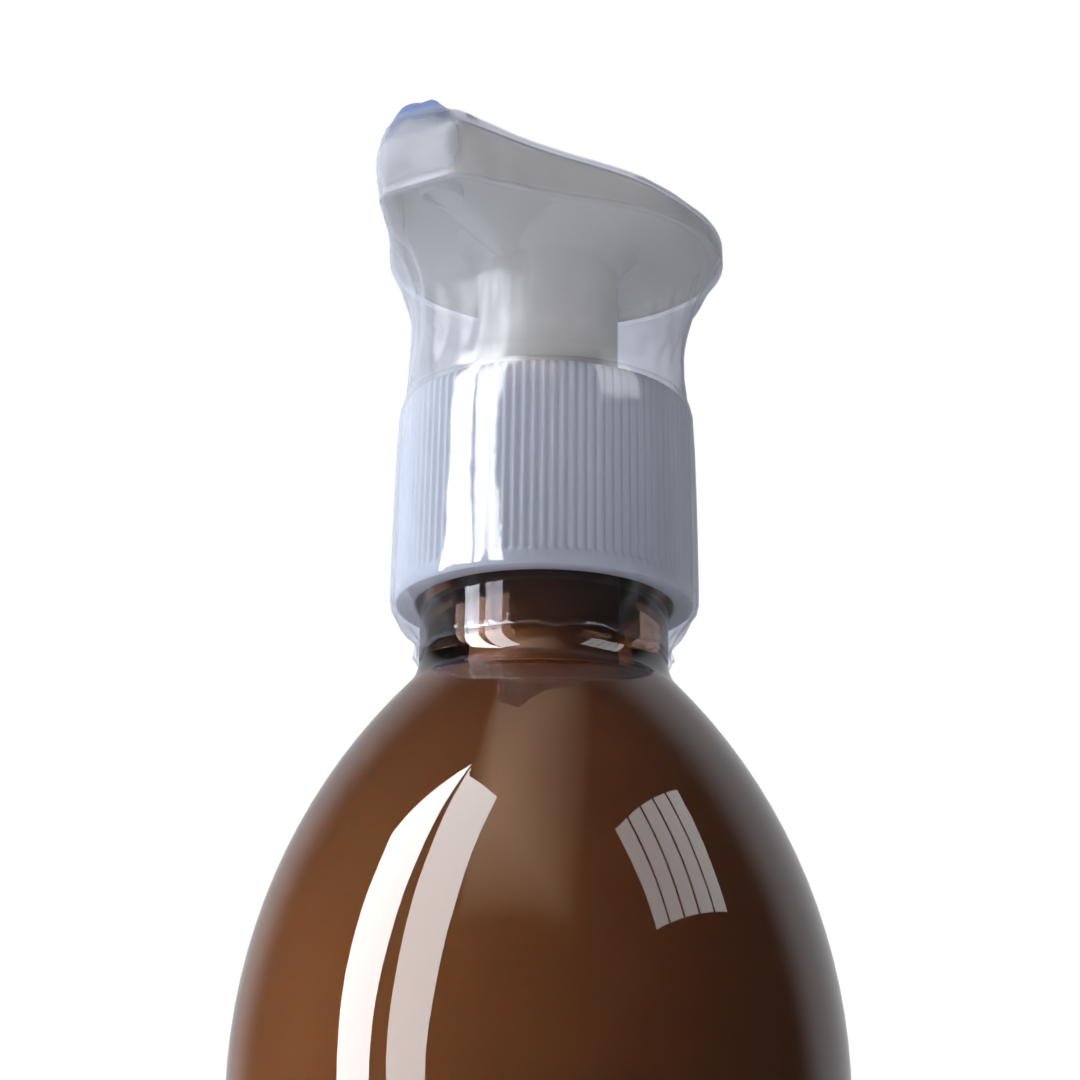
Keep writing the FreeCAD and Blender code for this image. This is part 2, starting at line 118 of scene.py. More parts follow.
def wind(bm, section, pitch, turns, per_turn):
    """Winds a closed section, in mm, round Z and up, and caps both ends."""
    corners = [bm.verts.new((x * MM, 0, z * MM)) for x, z in section]
    loop = [bm.edges.new((a, b)) for a, b in zip(corners, corners[1:] + corners[:1])]
    steps = round(per_turn * turns)
    swept = bmesh.ops.spin(bm, geom=corners + loop, cent=(0, 0, 0), axis=(0, 0, 1),
                           dvec=(0, 0, pitch * turns / steps * MM),
                           angle=math.tau * turns, steps=steps)
    last = [e for e in swept["geom_last"] if isinstance(e, bmesh.types.BMEdge)]
    bmesh.ops.edgeloop_fill(bm, edges=loop)
    bmesh.ops.edgeloop_fill(bm, edges=last)


def make_piece(name, bm, material, body, sharp=35):
    """Makes a bmesh a piece of the object: smooth but for its sharp edges, riding on a body."""
    mesh = bpy.data.meshes.new(name)
    bm.to_mesh(mesh)
    bm.free()
    mesh.shade_smooth()
    mesh.set_sharp_from_angle(angle=math.radians(sharp))
    mesh.materials.append(material)
    piece = bpy.data.objects.new(name, mesh)
    bpy.context.scene.collection.objects.link(piece)
    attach(piece, body)
    return piece


bm = bmesh.new()
trace(bm, (0, 2), (6, 2), (6, -80, -12.68), (24, 0), (FOOT_X, 0), (FOOT_X, 6, 90),
      (BODY_R, SHOULDER[1]), (*SHOULDER, 43.9), (BLEND_X, NECK_LINE_Z, -43.9), (13.7, 131.2),
      (NECK_R, 132.4), (NECK_R, 148.3), (12.1, 148.7), (11.7, LIP_Z), (10.6, LIP_Z),
      (BORE_R, 148.6), (BORE_R, 125.12), (BLEND_X, 125.12, 44.84), (*SHOULDER, -44.84),
      (30.4, 8.7), (FOOT_X, 8.7, -90), (6, -208.7, 5.53), (0, 6))
turn_round(bm, 160)
wind(bm, [(12.45, 133.0), (13.5, 133.5), (13.5, 134.2), (12.45, 134.7)],
     THREAD_PITCH, THREAD_TURNS, 90)
bmesh.ops.recalc_face_normals(bm, faces=bm.faces[:])

# Amber container glass: clear brown, deeper where light crosses the wall aslant, sharp gloss,
# faint unevenness from blowing.
amber_glass, tree, shader = new_material("amber container glass", {
    "Roughness": 0.0, "IOR": 1.5, "Transmission Weight": 1.0})
place = add_node(tree, "ShaderNodeTexCoord")
sway = add_node(tree, "ShaderNodeTexNoise", {"Scale": 1 / (14 * MM), "Detail": 1.0},
                {"Vector": place.outputs["Object"]})
ripple = add_node(tree, "ShaderNodeBump", {"Strength": 0.12, "Distance": 0.6 * MM},
                  {"Height": sway.outputs["Fac"]})
tree.links.new(ripple.outputs["Normal"], shader.inputs["Normal"])
aslant = add_node(tree, "ShaderNodeLayerWeight", {"Blend": 0.5})
wall = add_node(tree, "ShaderNodeMapRange", {"From Min": 0.35},
                {"Value": aslant.outputs["Facing"]})
amber = add_node(tree, "ShaderNodeMix", {
    "data_type": "RGBA", 6: srgb("#B18D74"), 7: srgb("#886650")},
    {"Factor": wall.outputs["Result"]})
tree.links.new(amber.outputs[2], shader.inputs["Base Color"])
bottle = make_piece("bottle_glass", bm, amber_glass, "bottle")
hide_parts("bottle")

# A clear joint: oil and glass bend light alike, so the wall can't be seen where the oil wets it.
# The film uses it too, on edges where it really runs on.
clear_joint = bpy.data.materials.new("clear joint")
clear_joint.use_nodes = True
tree = clear_joint.node_tree
tree.nodes.remove(tree.nodes["Principled BSDF"])
unseen = add_node(tree, "ShaderNodeBsdfTransparent")
tree.links.new(unseen.outputs["BSDF"], tree.nodes["Material Output"].inputs["Surface"])
bottle.data.materials.append(clear_joint)
for face in bottle.data.polygons:
    height = face.center.z / MM
    inward = face.normal.x * face.center.x + face.normal.y * face.center.y < -1e-6
    on_floor = face.normal.z > 0.9 and height < INSIDE_FLOOR[1]
    if INSIDE_FLOOR[0] < height < OIL_LEVEL and (inward or on_floor):
        face.material_index = 1


# The filling: turbid brown massage oil, up to the top of the shoulder. It leaves a well for the
# pump's barrel and dip tube, which hang in it.

bm = bmesh.new()
trace(bm, (0, 6.1), (6, 6.1), (6, -208.6, -5.5), (FOOT_X, 5.1), (FOOT_X, 8.74, 90),
      (30.3, SHOULDER[1]), (*SHOULDER, 44.0), (12.4, OIL_LEVEL), (9.0, OIL_LEVEL), (8.9, 104.6),
      (5.2, 100.6), (5.2, 96.0), (4.7, 94.0), (4.7, 88.3), (3.4, 88.3), (3.4, 8.6), (0, 8.6))
turn_round(bm, 128)

# Turbid herbal oil: it scatters light close under its surface, in faint drifts of a few
# centimetres, and its colour darkens towards the neck, which is painted shade.
oil, tree, shader = new_material("turbid herbal oil", {
    "Roughness": 0.6, "IOR": 1.47, "Specular IOR Level": 0.0,
    "Subsurface Weight": 1.0, "Subsurface Radius": (1.0, 0.5, 0.3), "Subsurface Scale": 20 * MM})
place = add_node(tree, "ShaderNodeTexCoord")
drift = add_node(tree, "ShaderNodeTexNoise", {"Scale": 1 / (28 * MM), "Detail": 2.0},
                 {"Vector": place.outputs["Object"]})
brown = add_node(tree, "ShaderNodeMix", {
    "data_type": "RGBA", 6: srgb("#A08367"), 7: srgb("#AE9073")},
    {"Factor": drift.outputs["Fac"]})
axes = add_node(tree, "ShaderNodeSeparateXYZ", None, {"Vector": place.outputs["Object"]})
# Painted shade: the oil's colour darkens from 78 mm up to 116 mm.
height = add_node(tree, "ShaderNodeMapRange", {"From Min": 78 * MM, "From Max": 116 * MM},
                  {"Value": axes.outputs["Z"]})
painted_neck_shade = add_node(tree, "ShaderNodeMix", {"data_type": "RGBA", 7: srgb("#715C4C")},
                   {"Factor": height.outputs["Result"], 6: brown.outputs[2]})
tree.links.new(painted_neck_shade.outputs[2], shader.inputs["Base Color"])
make_piece("oil_filling", bm, oil, "bottle")


# The pump's inner pieces: natural polypropylene mouldings, a foam washer and two steel balls.
# They are pressed or stacked in the barrel, which hangs from the lip of the neck.


def dress(node, material):
    """Gives a CAD node its finish."""
    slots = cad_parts[node].data.materials
    slots.clear()
    slots.append(material)


# Natural polypropylene: milky, slightly waxy, faint flow marks from moulding.
natural_pp, tree, shader = new_material("natural polypropylene", {
    "Roughness": 0.42, "IOR": 1.49,
    "Subsurface Weight": 0.15, "Subsurface Radius": (2 * MM, 2 * MM, 2 * MM)})
place = add_node(tree, "ShaderNodeTexCoord")
flow = add_node(tree, "ShaderNodeTexNoise", {"Scale": 1 / (6 * MM), "Detail": 3.0},
                {"Vector": place.outputs["Object"]})
milk = add_node(tree, "ShaderNodeMix", {
    "data_type": "RGBA", 6: srgb("#DAD9D2"), 7: srgb("#E8E7E1")},
    {"Factor": flow.outputs["Fac"]})
tree.links.new(milk.outputs[2], shader.inputs["Base Color"])
for node in ("pump_housing", "ball_cage", "dip_tube", "piston"):
    dress(node, natural_pp)

# Foamed polyethylene: matt, with closed cells of about half a millimetre.
foam, tree, shader = new_material("foamed polyethylene", {
    "Base Color": srgb("#E9E8E4"), "Roughness": 0.85})
place = add_node(tree, "ShaderNodeTexCoord")
cells = add_node(tree, "ShaderNodeTexVoronoi", {"Scale": 1 / (0.5 * MM)},
                 {"Vector": place.outputs["Object"]})
pits = add_node(tree, "ShaderNodeBump", {"Strength": 0.5, "Distance": 0.1 * MM},
                {"Height": cells.outputs["Distance"]})
tree.links.new(pits.outputs["Normal"], shader.inputs["Normal"])
dress("gasket", foam)

# Stainless steel: ground balls and drawn wire, with fine marks along the work.
stainless, tree, shader = new_material("stainless steel", {
    "Base Color": srgb("#C9CACB"), "Metallic": 1.0, "Roughness": 0.22})
place = add_node(tree, "ShaderNodeTexCoord")
marks = add_node(tree, "ShaderNodeTexNoise", {"Scale": 1 / (0.4 * MM), "Detail": 2.0},
                 {"Vector": place.outputs["Object"]})
rough = add_node(tree, "ShaderNodeMapRange", {"To Min": 0.16, "To Max": 0.3},
                 {"Value": marks.outputs["Fac"]})
tree.links.new(rough.outputs["Result"], shader.inputs["Roughness"])
for node in ("inlet_ball", "outlet_ball"):
    dress(node, stainless)


# The return spring: stainless wire of 0.9 mm, wound round a mandrel, with closed end turns.
# It stands on the ball cage and lifts the stem's foot.

SPRING_LOW = 107.6
SPRING_HIGH = 128.6
WIRE = 0.9
COIL_R = 5.0
COIL_STEPS = 32
OPEN_TURNS = 5
END_RISE = 1.05

bm = bmesh.new()
start = Matrix.Translation((COIL_R * MM, 0, (SPRING_LOW + WIRE / 2) * MM))
ring = bmesh.ops.create_circle(bm, segments=10, radius=WIRE / 2 * MM,
                               matrix=start @ Matrix.Rotation(math.pi / 2, 4, "X"))
tail = ring["verts"][:] + bm.edges[:]
bmesh.ops.edgeloop_fill(bm, edges=bm.edges[:])
open_rise = SPRING_HIGH - SPRING_LOW - WIRE - 2 * END_RISE
for turns, rise in ((1, END_RISE), (OPEN_TURNS, open_rise), (1, END_RISE)):
    steps = COIL_STEPS * turns
    swept = bmesh.ops.spin(bm, geom=tail, cent=(0, 0, 0), axis=(0, 0, 1),
                           dvec=(0, 0, rise / steps * MM), angle=math.tau * turns, steps=steps)
    tail = [g for g in swept["geom_last"] if not isinstance(g, bmesh.types.BMFace)]
bmesh.ops.edgeloop_fill(bm, edges=[g for g in tail if isinstance(g, bmesh.types.BMEdge)])
bmesh.ops.recalc_face_normals(bm, faces=bm.faces[:])
spring = make_piece("spring_wire", bm, stainless, "pump_body")
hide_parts("return_spring")
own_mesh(spring)


# The closure: a screw cap moulded in white polypropylene, with fine upright ribs for the grip
# that fade out above a plain rim band, and a thread inside.

RIBS = 96
RIB_STEPS = 8
RIB_DEPTH = 0.36
CAP_LOW = 130.0
CAP_TOP = 153.5
CAP_BORE_R = 14.2


def furrow(share):
    """How deep the wall lies across one rib's pitch, from 0 on the crest to 1 in the furrow."""
    return (0.5 - 0.5 * math.cos(math.tau * share)) ** 1.6


bm = bmesh.new()
seed = bm.verts.new((CAP_BORE_R * MM, 0, 131.0 * MM))
bmesh.ops.spin(bm, geom=[seed], cent=(0, 0, 0), axis=(0, 0, 1),
               angle=math.tau / RIBS, steps=RIB_STEPS)
row = bm.edges[:]
rim_band = [(CAP_BORE_R, 130.3, 0), (14.3, 130.08, 0), (14.5, CAP_LOW, 0), (16.1, CAP_LOW, 0),
            (16.4, 130.1, 0), (16.5, 130.4, 0), (16.5, 131.55, 0)]
ribbed_wall = [(16.49, 131.75, 0.25), (16.48, 132.0, 0.75), (16.47, 132.3, 1), (16.32, 142.0, 1),
               (16.17, 152.3, 1), (16.1, 152.75, 1), (15.9, 153.1, 0.9), (15.55, 153.4, 0.6),
               (15.1, CAP_TOP, 0.2)]
top_and_bore = [(14.6, CAP_TOP, 0), (9.9, CAP_TOP, 0), (9.6, 153.35, 0), (9.5, 153.0, 0),
                (9.5, 151.7, 0), (9.7, 151.5, 0), (14.0, 151.5, 0), (CAP_BORE_R, 151.3, 0),
                (CAP_BORE_R, 131.0, 0)]
for r, z, ribbed in rim_band + ribbed_wall + top_and_bore:
    grown = bmesh.ops.extrude_edge_only(bm, edges=row)["geom"]
    row = [g for g in grown if isinstance(g, bmesh.types.BMEdge)]
    for v in (g for g in grown if isinstance(g, bmesh.types.BMVert)):
        angle = math.atan2(v.co.y, v.co.x)
        reach = r - ribbed * RIB_DEPTH * furrow(angle / (math.tau / RIBS))
        v.co = (reach * math.cos(angle) * MM, reach * math.sin(angle) * MM, z * MM)
bmesh.ops.spin(bm, geom=bm.verts[:] + bm.edges[:] + bm.faces[:], cent=(0, 0, 0), axis=(0, 0, 1),
               angle=math.tau * (1 - 1 / RIBS), steps=RIBS - 1, use_duplicate=True)
bmesh.ops.remove_doubles(bm, verts=bm.verts[:], dist=0.002 * MM)
wind(bm, [(14.3, 135.4), (14.3, 136.9), (12.9, 136.4), (12.9, 135.9)],
     THREAD_PITCH, THREAD_TURNS, 90)
bmesh.ops.recalc_face_normals(bm, faces=bm.faces[:])


def white_moulding(name, dull, bright, gloss, roughness):
    """White polypropylene: satin, faintly clouded, with a fine spark grain from the mould."""
    plastic, tree, shader = new_material(name, {
        "Roughness": roughness, "IOR": 1.49, "Specular IOR Level": gloss,
        "Subsurface Weight": 0.08, "Subsurface Radius": (1.5 * MM, 1.5 * MM, 1.8 * MM)})
    place = add_node(tree, "ShaderNodeTexCoord")
    cloud = add_node(tree, "ShaderNodeTexNoise", {"Scale": 1 / (9 * MM), "Detail": 2.0},
                     {"Vector": place.outputs["Object"]})
    tone = add_node(tree, "ShaderNodeMix", {"data_type": "RGBA", 6: srgb(dull), 7: srgb(bright)},
                    {"Factor": cloud.outputs["Fac"]})
    tree.links.new(tone.outputs[2], shader.inputs["Base Color"])
    grain = add_node(tree, "ShaderNodeTexNoise", {"Scale": 1 / (0.25 * MM), "Detail": 2.0},
                     {"Vector": place.outputs["Object"]})
    spark = add_node(tree, "ShaderNodeBump", {"Strength": 0.12, "Distance": 0.02 * MM},
                     {"Height": grain.outputs["Fac"]})
    tree.links.new(spark.outputs["Normal"], shader.inputs["Normal"])
    return plastic


# White polypropylene whose colour is tinted slightly blue: painted sky light from the window.
sky_tinted_white = white_moulding("white polypropylene with painted sky light", "#E6E9EE", "#ECEFF4", 0.35, 0.36)
cap = make_piece("ribbed_cap", bm, sky_tinted_white, "closure", sharp=50)
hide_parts("closure")


# The collar and the stem: white mouldings. The collar snaps on the closure and guides the head's
# sleeve, and the stem is pressed into the head.

# The same white polypropylene, its colour tinted warm: painted bounce light from below.
bounce_tinted_white = white_moulding("white polypropylene with painted bounce light", "#E3E1D9", "#EBE9E1", 0.5, 0.26)
for node in ("chaplet", "stem"):
    dress(node, bounce_tinted_white)


# The head: a hollow leaf-shaped moulding in white polypropylene, with soft edges. Its top rises to
# a blunt nose with a shallow panel, and its sleeve, socket and spout hang from its roof.

NOSE_Y = -24.8
NOSE_CORNER = (4, -22.8)
BACK_R = 18.8
BACK_Y = 1.65
FLANK_LEAN = 33.404
FLANK_DIP = 0.45
DIP_FROM = -23.9
DIP_LENGTH = 15.2
HEAD_RIM = 171.7
HEAD_BACK_Z = 174.1
RISE = math.radians(10.2845)
SADDLE_R = 40.0
ROOF_T = 1.4
EDGE_R = 1.0
RIM_R = 0.3
RIM_TOP = HEAD_RIM + RIM_R
HOLLOW_R = 0.8
SPOUT_SINK = 4.7
SPOUT_HALF_W = 7.0
SIDE_ROWS = 8
EDGE_ROWS = 6
TOP_ROWS = 10
WALL_ROWS = 6
HOLLOW_ROWS = 4
ROOF_ROWS = 15


def leaf_loop(bm, grow):
    """Draws the head's outline in plan, grown outwards, as a closed loop round the axis."""
    nose = NOSE_Y - grow
    back = BACK_R + grow
    lean = math.radians(-FLANK_LEAN)
    trace(bm, (0, nose), (NOSE_CORNER[0], nose), (*NOSE_CORNER, 90 - FLANK_LEAN),
          (back * math.cos(lean), BACK_Y + back * math.sin(lean)), (0, BACK_Y, 90 + FLANK_LEAN))
    bmesh.ops.rotate(bm, verts=bm.verts[:], cent=(0, 0, 0),
                     matrix=Matrix.Rotation(-math.pi / 2, 3, "X"))
    runs = [e for e in bm.edges if e.calc_length() > 1.5 * MM]
    for run in runs:
        bmesh.ops.subdivide_edges(bm, edges=[run], cuts=int(run.calc_length() / (0.8 * MM)))
    for v in bm.verts:
        along = max(0, min(1, (v.co.y / MM - DIP_FROM) / DIP_LENGTH))
        dip = FLANK_DIP * math.sin(math.pi * along) ** 2 * MM
        v.co -= Vector((math.cos(lean), math.sin(lean), 0)) * dip
    bmesh.ops.mirror(bm, geom=bm.verts[:] + bm.edges[:], axis="X", merge_dist=0.002 * MM)
    return bm.edges[:]


def head_top(y):
    """The height of the head's top, in mm, at a place along it."""
    set_off = SADDLE_R * math.tan(RISE / 2)
    if y > set_off:
        return HEAD_BACK_Z
    if y < -set_off * math.cos(RISE):
        return HEAD_BACK_Z - y * math.tan(RISE)
    return HEAD_BACK_Z + SADDLE_R - math.sqrt(SADDLE_R ** 2 - (set_off - y) ** 2)


def rows_of(bm, edges, count):
    """Extrudes a row of edges several times and gives the new vertices of each row."""
    for k in range(count):
        grown = bmesh.ops.extrude_edge_only(bm, edges=edges)["geom"]
        edges = [g for g in grown if isinstance(g, bmesh.types.BMEdge)]
        yield k, [g for g in grown if isinstance(g, bmesh.types.BMVert)]


def ramp(value, low, high):
    """0 below the low value, 1 above the high one, smooth between them."""
    share = max(0, min(1, (value - low) / (high - low)))
    return share * share * (3 - 2 * share)


def roof_at(v):
    """The height of the roof over a vertex, in mm: it sinks along the middle for the spout."""
    x, y = abs(v.co.x) / MM, v.co.y / MM
    sink = SPOUT_SINK * ramp(-x, -SPOUT_HALF_W, -0.5) * ramp(-y, 3.0, 8.0)
    return head_top(y) - ROOF_T - sink


def spine_of(v):
    """The point on the head's middle line that lies nearest in plan, at the vertex's height."""
    return Vector((0, max(-20 * MM, min(v.co.y, BACK_Y * MM)), v.co.z))


def corner(k, steps):
    """How far in and up a rounded corner has come at a step, as shares of its radius."""
    angle = k * math.pi / 2 / steps
    return 1 - math.cos(angle), math.sin(angle)


def step_in(row, amount):
    """Moves a row of vertices inwards in plan, square to the row, by an amount in mm."""
    moves = []
    for v in row:
        before, after = [e.other_vert(v) for e in v.link_edges if e.other_vert(v) in row]
        along = after.co - before.co
        side = Vector((along.y, -along.x, 0)).normalized()
        inward = side if side.dot(spine_of(v) - v.co) > 0 else -side
        moves.append((v, inward * amount * MM))
    for v, move in moves:
        v.co += move


bm = bmesh.new()
rim = leaf_loop(bm, 0)
for v in bm.verts:
    v.co.z = RIM_TOP * MM

# The outside goes up the sides, round the edge and in over the top.
edge_from = SIDE_ROWS
top_from = edge_from + EDGE_ROWS
outside_rows = top_from + TOP_ROWS
for k, verts in rows_of(bm, rim, outside_rows):
    last_inset, _ = corner(k - edge_from, EDGE_ROWS)
    inset, climb = corner(k - edge_from + 1, EDGE_ROWS)
    if edge_from <= k < top_from:
        step_in(set(verts), EDGE_R * (inset - last_inset))
    for v in verts:
        top = head_top(v.co.y / MM)
        if k < edge_from:
            v.co.z = (RIM_TOP + (top - EDGE_R - RIM_TOP) * (k + 1) / SIDE_ROWS) * MM
        elif k < top_from:
            v.co.z = (top - EDGE_R * (1 - climb)) * MM
        else:
            v.co = v.co.lerp(spine_of(v), 1 / (outside_rows - k))
            v.co.z = head_top(v.co.y / MM) * MM

# The inside goes round the rim, up the wall, round a hollow corner and in under the roof.
lip = [(0.09, 0.09), (0.21, 0), (0.7, 0), (0.21, 0.09), (0.09, RIM_R)]
wall_from = len(lip)
hollow_from = wall_from + WALL_ROWS
roof_from = hollow_from + HOLLOW_ROWS
inside_rows = roof_from + ROOF_ROWS
for k, verts in rows_of(bm, rim, inside_rows):
    last_inset, _ = corner(k - hollow_from, HOLLOW_ROWS)
    inset, climb = corner(k - hollow_from + 1, HOLLOW_ROWS)
    if k < wall_from:
        step_in(set(verts), lip[k][0])
    for v in verts:
        hollow = max(0, min(HOLLOW_R, roof_at(v) - RIM_TOP))
        if k < wall_from:
            v.co.z = (HEAD_RIM + lip[k][1]) * MM
        elif k < hollow_from:
            share = (k - wall_from + 1) / WALL_ROWS
            v.co.z = (RIM_TOP + (roof_at(v) - hollow - RIM_TOP) * share) * MM
        elif k < roof_from:
            inward = (spine_of(v) - v.co).normalized()
            v.co += inward * HOLLOW_R * MM * (inset - last_inset)
            v.co.z = (roof_at(v) - hollow * (1 - climb)) * MM
        else:
            v.co = v.co.lerp(spine_of(v), 1 / (inside_rows - k))
            v.co.z = roof_at(v) * MM

bmesh.ops.remove_doubles(bm, verts=bm.verts[:], dist=0.01 * MM)
bmesh.ops.recalc_face_normals(bm, faces=bm.faces[:])
nose_faces = [f for f in bm.faces if f.normal.y < -0.99
              and f.calc_center_median().y < (NOSE_Y + 0.1) * MM]
panel = [f for f in nose_faces
         if HEAD_RIM + 1.2 < f.calc_center_median().z / MM < HEAD_RIM + 5.4]
bmesh.ops.inset_region(bm, faces=panel, thickness=0.35 * MM, depth=-0.18 * MM, use_even_offset=True)
leaf = make_piece("head_leaf", bm, bounce_tinted_white, "head", sharp=60)
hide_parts("pump_head")

# The sleeve and the socket inside it: round walls, drawn up to one height and then set into the
# roof. The sleeve flares where it meets the roof, but not at the spout.
SLEEVE_R = 8
SLEEVE_LOW = 152.6
SOCKET_LOW = 160.7
DRAWN_TOP = 173.4
FLARE_R = 11.6
FLARE_H = 3.6

bm = bmesh.new()
flare_rings = [(r, DRAWN_TOP) for r in (FLARE_R, 10.6, 9.7, 8.9, 8.4, 8.1, SLEEVE_R)]
trace(bm, (SLEEVE_R, SLEEVE_LOW + 0.3), (7.7, SLEEVE_LOW), (7, SLEEVE_LOW), (6.7, SLEEVE_LOW + 0.3),
      (6.7, DRAWN_TOP), *flare_rings, (SLEEVE_R, SLEEVE_LOW + 0.3))
trace(bm, (5.72, SOCKET_LOW + 0.2), (5.5, SOCKET_LOW), (4.5, SOCKET_LOW), (4.32, SOCKET_LOW + 0.2),
      (4.32, DRAWN_TOP), (5.72, DRAWN_TOP), (5.72, SOCKET_LOW + 0.2))
turn_round(bm, 96)
for v in bm.verts:
    if v.co.z > (DRAWN_TOP - 0.4) * MM:
        r = v.co.to_2d().length / MM
        top = head_top(v.co.y / MM)
        sunk = (top - ROOF_T - roof_at(v)) / SPOUT_SINK
        droop = FLARE_H * (1 - sunk) * ((FLARE_R - r) / (FLARE_R - SLEEVE_R)) ** 2
        v.co.z = (roof_at(v) + 0.3 - droop if r > SLEEVE_R - 0.1 else top - 0.6) * MM
sleeve = make_piece("head_sleeve", bm, bounce_tinted_white, "head", sharp=60)
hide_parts("pump_head")

# The outlet: a short tube at the spout's end, below the nose.
OUTLET_Y = -20.8
OUTLET_R = 2.5
OUTLET_BORE_R = 1.9

bm = bmesh.new()
trace(bm, (OUTLET_R, 171.7), (2.45, 171.5), (2.3, 171.4), (2.1, 171.4), (1.95, 171.5),
      (OUTLET_BORE_R, 171.7), (OUTLET_BORE_R, 174), (OUTLET_R, 174), (OUTLET_R, 171.7))
turn_round(bm, 48)
bmesh.ops.translate(bm, verts=bm.verts[:], vec=(0, OUTLET_Y * MM, 0))
outlet = make_piece("head_outlet", bm, bounce_tinted_white, "head", sharp=60)
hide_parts("pump_head")


# The shrink film: clear film shrunk by heat from the head over the closure to the neck. It is
# cut here at the closure's top and at the head's rim, so that each part follows what it wraps.

FILM_OFF = 0.28
FILM_T = 0.12
HOOD_LOW = HEAD_RIM - 0.15
WAIST_LOW = CAP_TOP + 0.2
SKIRT_TOP = CAP_TOP + 0.3


def crumple(v, size, amount):
    """Moves a film vertex out from the axis by noise of that size, in mm."""
    push = noise.noise(Vector((v.co.x / size.x, v.co.y / size.y, v.co.z / size.z)) / MM)
    out = Vector((v.co.x, v.co.y, 0)).normalized()
    v.co += out * push * amount * MM


def thicken(bm):
    """Gives the film its thickness."""
    bmesh.ops.recalc_face_normals(bm, faces=bm.faces[:])
    bmesh.ops.solidify(bm, geom=bm.faces[:], thickness=FILM_T * MM)


def clear_edges(piece, *heights):
    """Makes the film's cut edges unseen at heights, in mm, where it runs on in the next piece."""
    piece.data.materials.append(clear_joint)
    for face in piece.data.polygons:
        near = any(abs(face.center.z / MM - z) < 0.3 for z in heights)
        if near and abs(face.normal.z) > 0.8:
            face.material_index = 1


# Clear polyolefin film: it shows what it wraps, greyed a little, with sharp glints on its folds.
# It is milky where it hangs free below the head, on the nose's front, and where it is bunched.
film = bpy.data.materials.new("clear shrink film")
film.use_nodes = True
tree = film.node_tree
tree.nodes.remove(tree.nodes["Principled BSDF"])
place = add_node(tree, "ShaderNodeTexCoord")
creases = add_node(tree, "ShaderNodeTexNoise", {"Scale": 1 / (5 * MM), "Detail": 3.0},
                   {"Vector": place.outputs["Object"]})
pucker = add_node(tree, "ShaderNodeBump", {"Strength": 0.25, "Distance": 0.5 * MM},
                  {"Height": creases.outputs["Fac"]})
see_through = add_node(tree, "ShaderNodeBsdfTransparent", {"Color": srgb("#F6F7FB")})
axes = add_node(tree, "ShaderNodeSeparateXYZ", None, {"Vector": place.outputs["Object"]})
forward = add_node(tree, "ShaderNodeMath", {"operation": "MINIMUM", 1: 0.0}, {0: axes.outputs["Y"]})
level = add_node(tree, "ShaderNodeMath", {"operation": "MULTIPLY_ADD", 1: math.tan(RISE)},
                 {0: forward.outputs["Value"], 2: axes.outputs["Z"]})
bunched = add_node(tree, "ShaderNodeMapRange", {
    "From Min": (HEAD_BACK_Z + 0.5) * MM, "From Max": (HEAD_BACK_Z + 2.4) * MM},
    {"Value": level.outputs["Value"]})
tint = add_node(tree, "ShaderNodeMix", {
    "data_type": "RGBA", 6: srgb("#C6C9D0"), 7: srgb("#8294C4")},
    {"Factor": bunched.outputs["Result"]})
haze = add_node(tree, "ShaderNodeBsdfDiffuse", None, {"Color": tint.outputs[2]})
edge = add_node(tree, "ShaderNodeLayerWeight", {"Blend": 0.25})
tucked = add_node(tree, "ShaderNodeMapRange", {
    "From Min": 127 * MM, "From Max": 131 * MM, "To Min": 0.2, "To Max": 0.78},
    {"Value": axes.outputs["Z"]})
cover = add_node(tree, "ShaderNodeMapRange", {"From Min": 0.06},
                 {"Value": edge.outputs["Facing"], "To Max": tucked.outputs["Result"]})
folded = add_node(tree, "ShaderNodeMapRange", {
    "From Min": (NOSE_Y - 0.1) * MM, "From Max": (NOSE_Y - 0.7) * MM, "To Max": 0.5},
    {"Value": axes.outputs["Y"]})
rising = add_node(tree, "ShaderNodeMapRange", {
    "From Min": 158 * MM, "From Max": 166 * MM, "To Max": 0.24},
    {"Value": axes.outputs["Z"]})
under = add_node(tree, "ShaderNodeMapRange", {
    "From Min": (HEAD_RIM + 0.2) * MM, "From Max": (HEAD_RIM - 0.2) * MM},
    {"Value": axes.outputs["Z"]})
hung = add_node(tree, "ShaderNodeMath", {"operation": "MINIMUM"},
                {0: rising.outputs["Result"], 1: under.outputs["Result"]})
loose = add_node(tree, "ShaderNodeMath", {"operation": "MAXIMUM"},
                 {0: hung.outputs["Value"], 1: folded.outputs["Result"]})
most = add_node(tree, "ShaderNodeMath", {"operation": "MAXIMUM"},
                {0: cover.outputs["Result"], 1: loose.outputs["Value"]})
thick = add_node(tree, "ShaderNodeMath", {"operation": "MAXIMUM"},
                 {0: most.outputs["Value"], 1: bunched.outputs["Result"]})
heavy = add_node(tree, "ShaderNodeMath", {"operation": "MINIMUM", 1: 0.75},
                 {0: thick.outputs["Value"]})
milky = add_node(tree, "ShaderNodeMixShader", None, {
    "Fac": heavy.outputs["Value"], 1: see_through.outputs["BSDF"], 2: haze.outputs["BSDF"]})
slack = add_node(tree, "ShaderNodeMapRange", {
    "From Min": 152 * MM, "From Max": 156 * MM, "To Min": 0.12, "To Max": 0.3},
    {"Value": axes.outputs["Z"]})
gloss = add_node(tree, "ShaderNodeBsdfGlossy", {"Color": (1, 1, 1, 1)},
                 {"Roughness": slack.outputs["Result"], "Normal": pucker.outputs["Normal"]})
polish = add_node(tree, "ShaderNodeMapRange", {
    "From Min": 152 * MM, "From Max": 156 * MM, "To Min": 0.036, "To Max": 0.02},
    {"Value": axes.outputs["Z"]})
sheen = add_node(tree, "ShaderNodeMapRange", {
    "From Min": -23 * MM, "From Max": -17 * MM, "To Min": 0.003},
    {"Value": axes.outputs["Y"], "To Max": polish.outputs["Result"]})
both = add_node(tree, "ShaderNodeMixShader", None, {
    "Fac": sheen.outputs["Result"], 1: milky.outputs["Shader"], 2: gloss.outputs["BSDF"]})
tree.links.new(both.outputs["Shader"], tree.nodes["Material Output"].inputs["Surface"])

